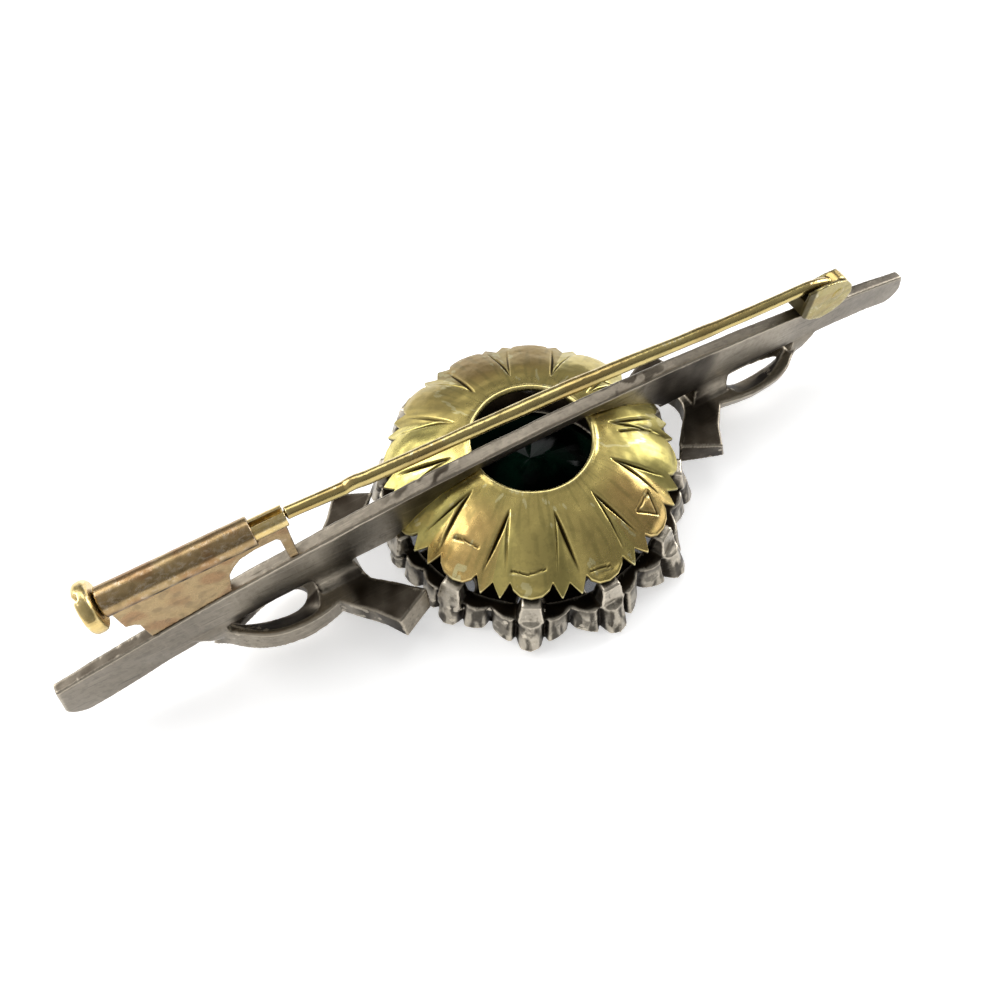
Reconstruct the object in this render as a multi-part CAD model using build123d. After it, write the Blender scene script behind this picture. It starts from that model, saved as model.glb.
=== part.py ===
"""Bar brooch with a round faceted stone, lying on its front with its back up.

Millimetres. +Z is the brooch's back, +X its hinge end, and the stones' front faces lie in z = 0.
"""
import math
import os

from build123d import *

# Air left between two pieces that touch on the real brooch
piece_gap = 0.06
# Running clearance between two round pieces that move on each other
running_gap = 0.035
# How far a cutting shape reaches past what it cuts
cut_margin = 1.0

# Bar, a narrow strip on edge whose ends bend down to the front
bar_length = 59.4
bar_width = 0.96
bar_end_width = 0.72
bar_back_z = 8.37
bar_back_fall = 2.95
bar_front_right_z = 2.75
bar_front_left_z = 1.60
# How far each end's front corner stands out past its back corner
bar_end_rake = 0.90
# Front edge between the ends: share of the half length, height
bar_front_edge = ((0.875, 3.62), (0.74, 3.98), (0.54, 4.18), (0.0, 4.26),
                  (-0.54, 4.10), (-0.74, 3.42), (-0.875, 2.58))
bar_front_corner_round = 1.00
bar_back_corner_round = 0.30
bar_edge_round = 0.09

# Cup, a gold dome with a round window, cut into petals at its rim
cup_hole_radius = 3.70
cup_hole_z = 7.48
# Dome between the window and the rim: radius, height
cup_profile = ((5.10, 7.12), (6.90, 6.34), (8.20, 5.46))
cup_rim_radius = 9.40
cup_rim_z = 4.52
cup_wall = 0.50
petal_count = 12
petal_pitch = 360.0 / petal_count
# Rim of one petal and the tooth beside it: angle from the petal's middle, radius
petal_rim = ((0.0, 9.08), (4.0, 8.98), (6.8, 8.72), (8.3, 8.38), (11.3, 9.16), (15.0, 8.46))
dart_apex_radius = 4.90
dart_end_radius = 8.05
dart_end_angle = 4.7
dart_width = 0.26
dart_depth = 0.30

# Setting ring, a fluted silver wall with a lobe and a claw for each petal
ring_front_z = 0.45
ring_floor_z = 1.75
ring_rail_z = 2.65
ring_front_radius = 9.85
ring_rail_radius = 9.45
# How far each lobe swells past the front radius, from the lobe at +X round to +Y and on
ring_lobes = (0.90, 0.90, 0.95, 1.25, 0.95, 0.70, 0.25, 0.65, 1.05, 1.25, 1.45, 0.95)
ring_rail_swell = 0.60
ring_ribs_per_lobe = 3
# Outline of one rib: share of the rib's width, height
ring_rib = ((0.0, -0.26), (0.22, -0.02), (0.5, 0.08), (0.78, -0.02))
ring_inner_radius = 8.60
claw_foot_z = 1.95
claw_base_width = 1.75
claw_tip_width = 1.15
claw_base_reach = 10.05
claw_tip_reach = 9.50
claw_tuck = 0.35

# Central stone
agate_girdle_radius = 6.15
agate_girdle_z = (0.92, 1.15)
agate_table_radius = 4.10
agate_culet_z = 5.10
agate_sides = 16

# Small stones around it
diamond_circle_radius = 8.25
diamond_girdle_radius = 1.50
diamond_girdle_z = (0.72, 0.84)
diamond_table_radius = 0.90
diamond_culet_z = 1.70
diamond_sides = 8

# Cut of every stone, as shares of the way from the table's edge to the girdle
star_share = 0.55
break_share = 0.62
# Height share at which the lower row of facets meets the main ones below the girdle
lower_share = 0.75

# How far a seat's edge reaches over a stone's girdle, and how deep the seat slopes behind it
seat_lip = 0.16
seat_depth = 0.55
seat_edge = 0.02
diamond_window_radius = 0.75

# Bows, flat plates in front of the bar, shown here as they stand on the right
bow_back_z = 3.15
tail_front_z = 1.60
pocket_floor_z = 2.35
# Plan points of the near half, as (distance from the middle, y). The loop has one outline on its
# back and one on its front, and so has the pocket in it, which is open right through at its middle
left_bow = {
    "loop_front_z": 1.65,
    "loop_back": ((13.6, -1.72), (14.7, -2.15), (15.8, -2.32), (17.1, -2.28), (18.4, -1.98),
                  (19.5, -1.35), (20.6, -0.55), (21.1, 0.0)),
    "loop_front": ((13.6, -1.72), (14.8, -2.18), (16.1, -2.42), (17.6, -2.36), (19.0, -1.94),
                   (20.4, -1.10), (21.4, -0.30), (21.8, 0.0)),
    "pocket_back": ((14.95, 0.0), (15.0, -1.10), (15.3, -1.84), (16.2, -2.05), (17.3, -2.0),
                    (18.5, -1.63), (19.5, -0.95), (20.5, 0.0)),
    "pocket_front": ((15.65, 0.0), (15.85, -0.45), (16.2, -0.74), (16.7, -0.87), (17.5, -0.83),
                     (18.6, -0.57), (19.6, -0.20), (20.1, 0.0)),
    "tail_back": ((14.1, -2.10), (12.62, -3.54), (11.60, -4.90), (9.30, -3.76), (10.30, -2.80),
                  (11.90, -1.45), (12.30, -0.30)),
    "tail_front": ((14.1, -2.15), (12.30, -4.10), (11.50, -5.38), (9.42, -4.35), (10.35, -3.20),
                   (12.00, -1.55), (12.40, -0.30)),
}
right_bow = {
    "loop_front_z": 2.25,
    "loop_back": ((13.6, -1.60), (14.7, -1.88), (15.8, -2.05), (17.1, -2.07), (18.5, -1.90),
                  (19.7, -1.45), (20.9, -0.60), (21.7, 0.0)),
    "loop_front": ((13.6, -1.50), (14.8, -1.70), (16.1, -1.84), (17.5, -1.82), (19.0, -1.60),
                   (20.3, -1.02), (21.5, -0.30), (22.1, 0.0)),
    "pocket_back": ((14.95, 0.0), (15.0, -0.95), (15.3, -1.60), (16.2, -1.78), (17.3, -1.70),
                    (18.5, -1.28), (19.6, -0.62), (20.5, 0.0)),
    "pocket_front": ((15.40, 0.0), (15.70, -0.26), (16.1, -0.38), (16.7, -0.44), (17.5, -0.42),
                     (18.6, -0.32), (19.6, -0.16), (20.2, 0.0)),
    "tail_back": ((13.90, -1.60), (12.70, -3.00), (11.95, -4.43), (9.40, -3.05), (10.30, -2.05),
                  (11.35, -0.92), (11.60, -0.30)),
    "tail_front": ((14.0, -1.60), (12.95, -3.00), (12.45, -4.45), (9.55, -3.42), (10.40, -2.35),
                   (11.50, -1.05), (11.75, -0.30)),
}
# The raised knot under the bar and the root at the loop's far end: height, x range, half width
knot_sections = ((4.60, 12.5, 15.2, 0.45), (3.75, 12.3, 15.0, 0.62), (3.05, 12.1, 14.8, 1.10))
root_sections = ((4.30, 20.6, 22.6, 0.42), (3.35, 20.5, 22.0, 0.50), (2.50, 20.5, 21.3, 0.40))

# Tube catch on the back of the bar. Places along it are counted from the tube's closed end
catch_inset = 5.20
catch_rise = 4.64
outer_tube_length = 7.90
outer_tube_radius = 0.83
slide_tube_radius = 0.62
slide_tube_wall = 0.17
slide_reach = 1.80
slide_seam_width = 0.30
knob_gap = 0.10
knob_thickness = 0.78
knob_radius = 1.40
knob_round = 0.30
knob_notch_width = 0.42
knob_notch_depth = 0.30
catch_plate_thickness = 0.60
catch_foot = (0.60, 5.40)
catch_leg = (8.92, 9.44)
catch_leg_lean = 0.10
# Left shoulder of the plate, and the arch between foot and leg: place, depth below the tube's axis
catch_shoulder = ((0.0, 2.88), (0.40, 3.08), (0.58, 3.35))
catch_arch = ((5.80, 2.70), (6.06, 2.33), (6.64, 1.69), (7.55, 1.43), (8.74, 1.42), (8.90, 1.72))

# Hinge that straddles the bar. Its outline is counted from the pivot as (x, z)
hinge_inset = 7.30
hinge_rise = 1.52
rivet_radius = 0.26
rivet_head_radius = 0.40
rivet_head_height = 0.06
cheek_thickness = 0.20
cheek_outline = ((-2.66, -0.70), (-2.74, 1.30), (-1.40, 1.36), (-0.40, 1.18), (0.50, 0.85),
                 (1.12, 0.20), (1.39, -0.60), (1.10, -1.36), (0.40, -1.88), (-0.62, -2.06),
                 (-1.64, -1.66), (-2.36, -1.10))
cheek_round = 0.12
# The far cheek ends lower, just above the rivet
far_cheek_rise = 0.50
# Solid wall under the stem at the hinge's left end, and the floor between the cheeks
stop_wall_thickness = 0.42
bridge_thickness = 0.30

# Pin
knuckle_radius = 1.00
knuckle_half_width = 0.42
stem_radius = 0.37
# Bowed stem: share of the way from the pivot to the straight end, rise above the line between them
stem_line = ((0.006, 0.38), (0.035, 0.79), (0.085, 0.81), (0.180, 0.71), (0.316, 0.63),
             (0.445, 0.66), (0.647, 0.59), (0.833, 0.28))
stem_root_slope = (-0.75, 0.66)
# Sections of the loft through the bowed stem, as shares of its length
stem_stations = (0, 0.04, 0.1, 0.25, 0.45, 0.7, 1)
# The straight end points into the catch: length, drop below the tube's axis at its two ends
shank_length = 3.22
shank_drops = (0.11, -0.09)
stem_neck_length = 0.08
needle_radius = 0.11
needle_length = 1.50
needle_point_length = 0.25
needle_point_radius = 0.05


def bar_back(x):
    """Return the height of the bar's back edge at x, on the arc through its middle and ends."""
    half = bar_length / 2
    radius = (half ** 2 + bar_back_fall ** 2) / (2 * bar_back_fall)
    return bar_back_z - radius + math.sqrt(radius ** 2 - x ** 2)


catch_x = catch_inset - bar_length / 2
catch_axis_z = bar_back(catch_x + outer_tube_length / 2) + catch_rise
outer_tube_bore = slide_tube_radius + running_gap
slide_mouth_x = catch_x + outer_tube_length + slide_reach
pivot_x = bar_length / 2 - hinge_inset
pivot_z = bar_back(pivot_x) + hinge_rise
cheek_inner_y = bar_width / 2 + piece_gap
cheek_outer_y = cheek_inner_y + cheek_thickness
shank_end_x = slide_mouth_x + stem_neck_length
shank_start_x = shank_end_x + shank_length
claw_inner_radius = petal_rim[0][1] - claw_tuck


def polar(radius, degrees):
    """Return the plan point at a radius and an angle about the stone's centre."""
    turn = math.radians(degrees)
    return (radius * math.cos(turn), radius * math.sin(turn))


def side_solid(edges, half_width):
    """Extrude an outline drawn in x and z to both sides of the brooch's middle plane."""
    return extrude(Plane.XZ * make_face(edges), amount=half_width, both=True)


def turned(points):
    """Revolve a closed outline of (radius, z) points about the z axis."""
    return revolve(Plane.XZ * make_face(Polyline(*points, close=True)), axis=Axis.Z)


def lying_along_x(x, z):
    """Return the place of a round piece whose axis runs along x."""
    return Pos(x, 0, z) * Rot(0, 90, 0)


def lying_along_y(x, y, z):
    """Return the place of a round piece whose axis runs along y."""
    return Pos(x, y, z) * Rot(90, 0, 0)


def bar_back_line(x_from, x_to, lift):
    """Return points that follow the bar's back edge a little above it."""
    steps = 6
    places = [x_from + (x_to - x_from) * i / steps for i in range(steps + 1)]
    return [(x, bar_back(x) + lift) for x in places]


def cut_facets(stone, count, turn, low, high):
    """Cut a row of facets through two (radius, z) points, the first one turned by an angle."""
    out, up = high[1] - low[1], low[0] - high[0]
    if out < 0:
        out, up = -out, -up
    for k in range(count):
        angle = turn + 360.0 * k / count
        facet = Plane(origin=(*polar(low[0], angle), low[1]), x_dir=(*polar(1, angle + 90), 0),
                      z_dir=(*polar(out, angle), up))
        stone = split(stone, facet, keep=Keep.BOTTOM)
    return stone


def faceted_stone(sides, table_radius, girdle_radius, girdle_z, culet_z):
    """Cut a round stone from a rod: girdle, crown with three rows and pavilion with two."""
    low_girdle, high_girdle = girdle_z
    spread = girdle_radius - table_radius
    half_turn = 180.0 / sides
    table = (table_radius, 0)
    edge = (girdle_radius, low_girdle)
    back_edge = (girdle_radius, high_girdle)
    rod = RegularPolygon(girdle_radius, 2 * sides, major_radius=False)
    stone = Rot(0, 0, half_turn / 2) * extrude(rod, amount=culet_z)
    stone = cut_facets(stone, sides, 0, table, edge)
    stone = cut_facets(stone, sides, half_turn, table, (girdle_radius + star_share * spread,
                                                        low_girdle))
    stone = cut_facets(stone, 2 * sides, half_turn / 2, (girdle_radius - break_share * spread, 0),
                       edge)
    stone = cut_facets(stone, sides, 0, back_edge, (0, culet_z))
    lower_z = high_girdle + lower_share * (culet_z - high_girdle)
    lower_radius = girdle_radius * (1 - lower_share) / math.cos(math.radians(half_turn / 2))
    return cut_facets(stone, 2 * sides, half_turn / 2, back_edge, (lower_radius, lower_z))


def cup_points(lift):
    """Return the dome's outer profile from the window to the rim, raised by lift."""
    points = ((cup_hole_radius, cup_hole_z),) + cup_profile + ((cup_rim_radius, cup_rim_z),)
    return [(r, z + lift) for r, z in points]


def cup_height(radius):
    """Return the dome's height at a radius, between the points of its profile."""
    points = cup_points(0)
    for (r0, z0), (r1, z1) in zip(points, points[1:]):
        if radius <= r1:
            return z0 + (z1 - z0) * (radius - r0) / (r1 - r0)
    return cup_rim_z


def claw_tip_z():
    """Return the height of the claws' tips, just below the petals that rest on them."""
    return cup_height(petal_rim[0][1]) - cup_wall - 2 * piece_gap


def cup_dome(outer_lift, inner_lift):
    """Return the solid between the dome's profile at two heights."""
    outer = cup_points(outer_lift)
    inner = cup_points(inner_lift)
    edges = [Spline(*outer), Line(outer[-1], inner[-1]), Spline(*inner[::-1]),
             Line(inner[0], outer[0])]
    return revolve(Plane.XZ * make_face(edges), axis=Axis.Z)


def petal_outline():
    """Return the plan outline of all petals and teeth."""
    points = []
    between = petal_rim[1:-1]
    for k in range(petal_count):
        middle = k * petal_pitch
        for angle, radius in reversed(between):
            points.append(polar(radius, middle - angle))
        for angle, radius in petal_rim:
            points.append(polar(radius, middle + angle))
    return Polyline(*points, close=True)


def dart_cutter(turn, side):
    """Return the wedge that cuts one of the two lines between a pair of petals."""
    low = Vector(*polar(dart_end_radius, turn + side * dart_end_angle),
                 cup_height(dart_end_radius))
    high = Vector(*polar(dart_apex_radius, turn), cup_height(dart_apex_radius))
    run = low - high
    outward = Vector(*polar(1, turn), 1.0)
    across = run.cross(outward).normalized()
    start = Plane(origin=high, x_dir=across, z_dir=run.normalized())
    depth = dart_depth if start.y_dir.dot(outward) > 0 else -dart_depth
    half = dart_width / 2
    triangle = Polyline((0, 0), (half, depth), (-half, depth), close=True)
    return extrude(start * make_face(triangle), amount=run.length)


def gold_cup():
    """Return the domed cup with its window, petals, teeth and dart lines."""
    shape = cup_dome(0, -cup_wall)
    shape = shape & extrude(make_face(petal_outline()), amount=2 * cup_hole_z)
    for k in range(petal_count):
        between = (k + 0.5) * petal_pitch
        for side in (-1, 1):
            shape = shape - dart_cutter(between, side)
    return shape


def ring_outline(radius, swell_share, z, grow):
    """Return the ring's fluted and lobed outline at a height, larger all round by grow."""
    points = []
    rib_pitch = petal_pitch / ring_ribs_per_lobe
    for k, swell in enumerate(ring_lobes):
        for rib in range(ring_ribs_per_lobe):
            for share, height in ring_rib:
                turn = (rib + share) * rib_pitch - petal_pitch / 2
                lobe = 0.5 + 0.5 * math.cos(math.radians(petal_count * turn))
                reach = radius + grow + swell * swell_share * lobe + height
                points.append(polar(reach, k * petal_pitch + turn))
    return Pos(0, 0, z) * make_face(Polyline(*points, close=True))


def ring_body(grow):
    """Return the ring's full outer form, larger all round by grow."""
    return loft([ring_outline(ring_front_radius, 1, ring_front_z - grow, grow),
                 ring_outline(ring_rail_radius, ring_rail_swell, ring_rail_z + grow, grow)],
                ruled=True)


def stone_seat(girdle_radius, girdle_z, window_radius):
    """Return the hollow for one stone: lip, bore, sloping seat and window."""
    bore = girdle_radius + piece_gap
    low, high = girdle_z
    start = ring_front_z - cut_margin
    end = ring_floor_z + cut_margin
    points = ((0, start), (bore - seat_lip, start), (bore - seat_lip, ring_front_z + seat_edge),
              (bore, low - piece_gap), (bore, high + piece_gap),
              (window_radius, high + piece_gap + seat_depth), (window_radius, end), (0, end))
    return turned(points)


def claw():
    """Return one claw at +X, from its lobe up to the underside of a petal's tip."""
    sections = []
    for z, near, far, width in (
            (claw_foot_z, ring_inner_radius, claw_base_reach, claw_base_width),
            (claw_tip_z(), claw_inner_radius, claw_tip_reach, claw_tip_width)):
        sections.append(Pos((near + far) / 2, 0, z) * Rectangle(far - near, width))
    return loft(sections, ruled=True)


def setting_ring():
    """Return the fluted wall, its claws and the seats of all stones."""
    shape = ring_body(0)
    hollow_height = ring_rail_z - ring_floor_z + cut_margin
    shape = shape - Pos(0, 0, ring_floor_z + hollow_height / 2) * Cylinder(
        ring_inner_radius, hollow_height)
    for k in range(petal_count):
        shape = shape + Rot(0, 0, k * petal_pitch) * claw()
    window = agate_girdle_radius - seat_depth
    shape = shape - stone_seat(agate_girdle_radius, agate_girdle_z, window)
    seat = Pos(diamond_circle_radius, 0, 0) * stone_seat(
        diamond_girdle_radius, diamond_girdle_z, diamond_window_radius)
    for k in range(petal_count):
        shape = shape - Rot(0, 0, k * petal_pitch) * seat
    return shape


def loop_face(points, z):
    """Return a loop's plan face: a straight left end and a curve round to its tip and back."""
    across = [(x, -y) for x, y in reversed(points[:-1])]
    curve = Spline(*points, *across)
    return Pos(0, 0, z) * make_face([curve, Line(across[-1], points[0])])


def pocket_face(points, z):
    """Return the lens between a plan curve, whose ends lie on the axis, and its mirror image."""
    near = Spline(*points)
    far = Spline(*[(x, -y) for x, y in reversed(points)])
    return Pos(0, 0, z) * make_face([near, far])


def tail_face(points, z):
    """Return the plan face of both tails, from the notch round their ends to the bar."""
    far = [(x, -y) for x, y in reversed(points)]
    return Pos(0, 0, z) * make_face(Polyline(*points, *far, close=True))


def tapered_block(sections):
    """Return the soft block through rectangles given by height, x range and half width."""
    faces = []
    for z, x_low, x_high, half in sections:
        faces.append(Pos((x_low + x_high) / 2, 0, z) * Rectangle(x_high - x_low, 2 * half))
    return loft(faces)


def bow(sizes):
    """Return one bow as it stands on the right: an open loop, a knot and two tails."""
    loop = loft([loop_face(sizes["loop_front"], sizes["loop_front_z"]),
                 loop_face(sizes["loop_back"], bow_back_z)], ruled=True)
    tails = loft([tail_face(sizes["tail_front"], tail_front_z),
                  tail_face(sizes["tail_back"], bow_back_z)], ruled=True)
    pocket = loft([pocket_face(sizes["pocket_front"], pocket_floor_z),
                   pocket_face(sizes["pocket_back"], bow_back_z + piece_gap)], ruled=True)
    hole_start = tail_front_z - cut_margin
    hole = extrude(pocket_face(sizes["pocket_front"], hole_start),
                   amount=pocket_floor_z - hole_start)
    plate = (loop + tails) - pocket - hole
    return plate + tapered_block(knot_sections) + tapered_block(root_sections)


def end_corners(strip, rank):
    """Return the edge along y at both ends of the bar, of rank 0 in front and 1 at the back."""
    edges = strip.edges().filter_by(Axis.Y).sort_by(Axis.X)
    return [pair.sort_by(Axis.Z)[rank] for pair in (edges[:2], edges[-2:])]


def bar_strip():
    """Return the curved bar before it is fitted to the cup."""
    half = bar_length / 2
    end_z = bar_back(half)
    back = ThreePointArc((-half, end_z), (0, bar_back_z), (half, end_z))
    front_points = [(share * half, z) for share, z in bar_front_edge]
    front_half = half + bar_end_rake
    front = Spline((front_half, bar_front_right_z), *front_points,
                   (-front_half, bar_front_left_z))
    right_end = Line((half, end_z), (front_half, bar_front_right_z))
    left_end = Line((-front_half, bar_front_left_z), (-half, end_z))
    strip = side_solid([back, right_end, front, left_end], bar_width)
    strip = fillet(end_corners(strip, 0), bar_front_corner_round)
    strip = fillet(end_corners(strip, 1), bar_back_corner_round)
    # Both sides are arcs in plan that run a little past the ends
    past = front_half + cut_margin
    past_y = (bar_width - (bar_width - bar_end_width) * (past / half) ** 2) / 2
    near = ThreePointArc((-past, -past_y), (0, -bar_width / 2), (past, -past_y))
    far = ThreePointArc((past, past_y), (0, bar_width / 2), (-past, past_y))
    plan_edges = [near, Line(near @ 1, far @ 0), far, Line(far @ 1, near @ 0)]
    strip = strip & extrude(make_face(plan_edges), amount=bar_back_z + cut_margin)
    # The two edges along the back are the longest ones
    back_edges = strip.edges().sort_by(SortBy.LENGTH)[-2:]
    return fillet(back_edges, bar_edge_round)


def cup_room():
    """Return the room that the bar leaves for the cup and the claws."""
    # The dome slopes, so a lift that leaves the gap square to it is larger than the gap
    lift = piece_gap * 1.6
    dome = [(r + piece_gap, z) for r, z in cup_points(lift)[:-1]]
    claw_top = (claw_tip_reach + piece_gap, claw_tip_z() + piece_gap)
    claw_foot = (claw_base_reach + piece_gap, ring_rail_z + piece_gap)
    rim = (claw_tip_reach + piece_gap, cup_height(claw_tip_reach))
    middle = (0, cup_hole_z + lift)
    edges = [Line(middle, dome[0]), Spline(*dome),
             Polyline(dome[-1], rim, claw_top, claw_foot, (claw_foot[0], 0), (0, 0), middle)]
    return revolve(Plane.XZ * make_face(edges), axis=Axis.Z)


def bar_and_bows():
    """Return the bar with both bows, soldered into one silver piece."""
    shape = bar_strip() + bow(right_bow) + mirror(bow(left_bow), about=Plane.YZ)
    return shape - cup_room() - ring_body(piece_gap)


def catch_tube():
    """Return the fixed tube with its plate, foot and leg."""
    open_end = catch_x + outer_tube_length

    def below(points):
        return [(catch_x + x, catch_axis_z - depth) for x, depth in points]

    foot = bar_back_line(catch_x + catch_foot[0], catch_x + catch_foot[1], piece_gap)
    leg = bar_back_line(catch_x + catch_leg[0], catch_x + catch_leg[1], piece_gap)
    under_slide = catch_axis_z - slide_tube_radius - piece_gap
    outline = [(catch_x, catch_axis_z), *below(catch_shoulder), *foot, *below(catch_arch), *leg,
               (leg[-1][0] + catch_leg_lean, under_slide), (open_end, under_slide),
               (open_end, catch_axis_z)]
    plate = side_solid(Polyline(*outline, close=True), catch_plate_thickness / 2)
    lie = lying_along_x(catch_x + outer_tube_length / 2, catch_axis_z)
    tube = lie * Cylinder(outer_tube_radius, outer_tube_length)
    bore = lie * Cylinder(outer_tube_bore, outer_tube_length + cut_margin)
    return (plate + tube) - bore


def catch_slide():
    """Return the sliding tube with its open seam and its knob."""
    knob_end = catch_x - knob_gap
    knob_middle = knob_end - knob_thickness / 2
    length = slide_mouth_x - knob_middle
    middle = (slide_mouth_x + knob_middle) / 2
    lie = lying_along_x(middle, catch_axis_z)
    tube = lie * Cylinder(slide_tube_radius, length)
    knob = lying_along_x(knob_middle, catch_axis_z) * Cylinder(knob_radius, knob_thickness)
    knob = fillet(knob.edges(), knob_round)
    bore_length = slide_mouth_x - knob_end
    bore = lying_along_x((slide_mouth_x + knob_end) / 2, catch_axis_z) * Cylinder(
        slide_tube_radius - slide_tube_wall, bore_length)
    seam = Pos((slide_mouth_x + knob_end) / 2, 0, catch_axis_z + slide_tube_radius) * Box(
        bore_length, slide_seam_width, 2 * slide_tube_radius)
    notch = Pos(knob_middle - knob_thickness / 2, 0, catch_axis_z) * Box(
        2 * knob_notch_depth, knob_notch_width, 2 * knob_radius + cut_margin)
    return (tube + knob) - bore - seam - notch


def hinge():
    """Return the two cheeks, the bridge and wall between them, and the rivet."""
    points = [(pivot_x + x, pivot_z + z) for x, z in cheek_outline]
    block = side_solid(Polyline(*points, close=True), cheek_outer_y)
    block = fillet(block.edges().filter_by(Axis.Y), cheek_round)
    x_low = min(x for x, z in points)
    x_high = max(x for x, z in points) + cut_margin
    top = max(z for x, z in points) + cut_margin
    slot_start = x_low + stop_wall_thickness
    bridge_line = bar_back_line(slot_start, x_high, piece_gap + bridge_thickness)
    slot = side_solid(Polyline(*bridge_line, (x_high, top), (slot_start, top), close=True),
                      cheek_inner_y)
    stop_z = stem_height(stem_line[1]) - stem_radius - piece_gap
    notch = Pos(x_low, 0, (stop_z + top) / 2) * Box(
        2 * stop_wall_thickness, 2 * cheek_inner_y, top - stop_z)
    bar_line = bar_back_line(x_low - cut_margin, x_high, piece_gap)
    saddle = side_solid(Polyline(*bar_line, (x_high, 0), (x_low - cut_margin, 0), close=True),
                        cheek_inner_y)
    rivet = lying_along_y(pivot_x, 0, pivot_z) * Cylinder(rivet_radius, 2 * cheek_outer_y)
    far_side = Pos(pivot_x, cheek_outer_y, pivot_z + far_cheek_rise + cut_margin) * Box(
        2 * (x_high - x_low), 2 * cheek_thickness, 2 * cut_margin)
    shape = block - slot - notch - saddle - far_side + rivet
    for side in (-1, 1):
        head = lying_along_y(pivot_x, side * cheek_outer_y, pivot_z)
        shape = shape + head * Cylinder(rivet_head_radius, 2 * rivet_head_height)
    return shape


def stem_height(station):
    """Return the height of the stem's middle line at a (share, rise) station."""
    share, rise = station
    shank_start_z = catch_axis_z - shank_drops[0]
    return pivot_z + share * (shank_start_z - pivot_z) + rise


def pin_stem():
    """Return the knuckle, the bowed stem and the needle that lies in the catch."""
    lie = lying_along_y(pivot_x, 0, pivot_z)
    knuckle = lie * Cylinder(knuckle_radius, 2 * knuckle_half_width)
    start = Vector(shank_start_x, 0, catch_axis_z - shank_drops[0])
    end = Vector(shank_end_x, 0, catch_axis_z - shank_drops[1])
    along = (end - start).normalized()
    line = [(pivot_x + station[0] * (shank_start_x - pivot_x), stem_height(station))
            for station in stem_line]
    path = Plane.XZ * Spline(*line, (start.X, start.Z),
                             tangents=(stem_root_slope, (along.X, along.Z)))
    sections = [Plane(origin=path @ share, z_dir=path % share) * Circle(stem_radius)
                for share in stem_stations]
    shape = knuckle + loft(sections)
    reach = 0.0
    for length, low_radius, high_radius in (((end - start).length, stem_radius, stem_radius),
                                            (stem_neck_length, stem_radius, needle_radius),
                                            (needle_length, needle_radius, needle_radius),
                                            (needle_point_length, needle_radius,
                                             needle_point_radius)):
        place = Plane(origin=start, z_dir=along) * Pos(0, 0, reach + length / 2)
        if low_radius == high_radius:
            shape = shape + place * Cylinder(low_radius, length)
        else:
            shape = shape + place * Cone(low_radius, high_radius, length)
        reach += length
    return shape - lie * Cylinder(rivet_radius + running_gap, 2 * cheek_outer_y)


os.makedirs("parts", exist_ok=True)
export_step(bar_and_bows(), "parts/bar_and_bows.step")
export_step(setting_ring(), "parts/setting_ring.step")
export_step(gold_cup(), "parts/gold_cup.step")
export_step(catch_tube(), "parts/catch_tube.step")
export_step(catch_slide(), "parts/catch_slide.step")
export_step(hinge(), "parts/hinge.step")
export_step(pin_stem(), "parts/pin_stem.step")
export_step(faceted_stone(agate_sides, agate_table_radius, agate_girdle_radius,
                          agate_girdle_z, agate_culet_z), "parts/main_agate.step")
small_stone = faceted_stone(diamond_sides, diamond_table_radius, diamond_girdle_radius,
                            diamond_girdle_z, diamond_culet_z)
for number in range(petal_count):
    placed = Rot(0, 0, number * petal_pitch) * Pos(diamond_circle_radius, 0, 0) * small_stone
    export_step(placed, f"parts/diamond_{number + 1:02d}.step")
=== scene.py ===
"""Looks of an agate bar brooch that lies on its front: worn silver, gold, stone and studio."""
import logging
import math
from dataclasses import dataclass, field
from enum import Enum
from typing import Any, Callable

import bmesh
import bpy
import numpy as np
from mathutils import Matrix, Vector


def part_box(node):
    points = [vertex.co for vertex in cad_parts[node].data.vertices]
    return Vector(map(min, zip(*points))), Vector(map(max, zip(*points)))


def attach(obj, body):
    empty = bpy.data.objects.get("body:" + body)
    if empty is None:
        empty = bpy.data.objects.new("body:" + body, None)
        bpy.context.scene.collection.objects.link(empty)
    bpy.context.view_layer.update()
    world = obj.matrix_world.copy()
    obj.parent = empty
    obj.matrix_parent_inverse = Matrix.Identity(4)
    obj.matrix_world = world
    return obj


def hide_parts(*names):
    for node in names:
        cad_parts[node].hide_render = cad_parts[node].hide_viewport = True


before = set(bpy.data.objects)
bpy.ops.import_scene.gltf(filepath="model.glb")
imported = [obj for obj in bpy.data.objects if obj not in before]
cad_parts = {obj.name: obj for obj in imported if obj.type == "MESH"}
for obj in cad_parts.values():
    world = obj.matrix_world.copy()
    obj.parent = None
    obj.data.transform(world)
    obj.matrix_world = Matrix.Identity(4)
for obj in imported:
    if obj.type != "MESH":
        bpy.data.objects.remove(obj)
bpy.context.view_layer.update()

MM = 0.001
MERGE_MM = 0.001  # Points of a CAD mesh that are closer than this are one.

Array = np.ndarray
Thing = bpy.types.Object
Socket = bpy.types.NodeSocket
Color = tuple[float, float, float]
Point = tuple[float, float, float]
Span = tuple[float, float]


class Body(Enum):
    """The bodies that pieces ride on."""

    BROOCH = "brooch"
    SLIDE = "slide"
    PIN = "pin"


class Slot(Enum):
    """Material slot names that new pieces are passed with; nothing reads them."""

    BAR = "silver_bar"
    SETTING = "silver_setting"
    CUP = "gold_cup"
    TUBE = "rose_gold"
    FITTINGS = "gold_fittings"


# Arrays and meshes


def smooth_step(values: Array, low: float, high: float) -> Array:
    """Rise from 0 at low to 1 at high as 3t^2 - 2t^3, with t the share of the way."""
    share = np.clip((values - low) / (high - low), 0.0, 1.0)
    return share * share * (3.0 - 2.0 * share)


def fade(values: Array, low: float, high: float) -> Array:
    """Fall from 1 at low to 0 at high, as 1 minus the smooth step."""
    return 1.0 - smooth_step(values, low, high)


def band(values: Array, rise: Span, fall: Span) -> Array:
    """Rise from 0 to 1 over one span of values and fall back over a later one."""
    return smooth_step(values, *rise) * fade(values, *fall)


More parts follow.
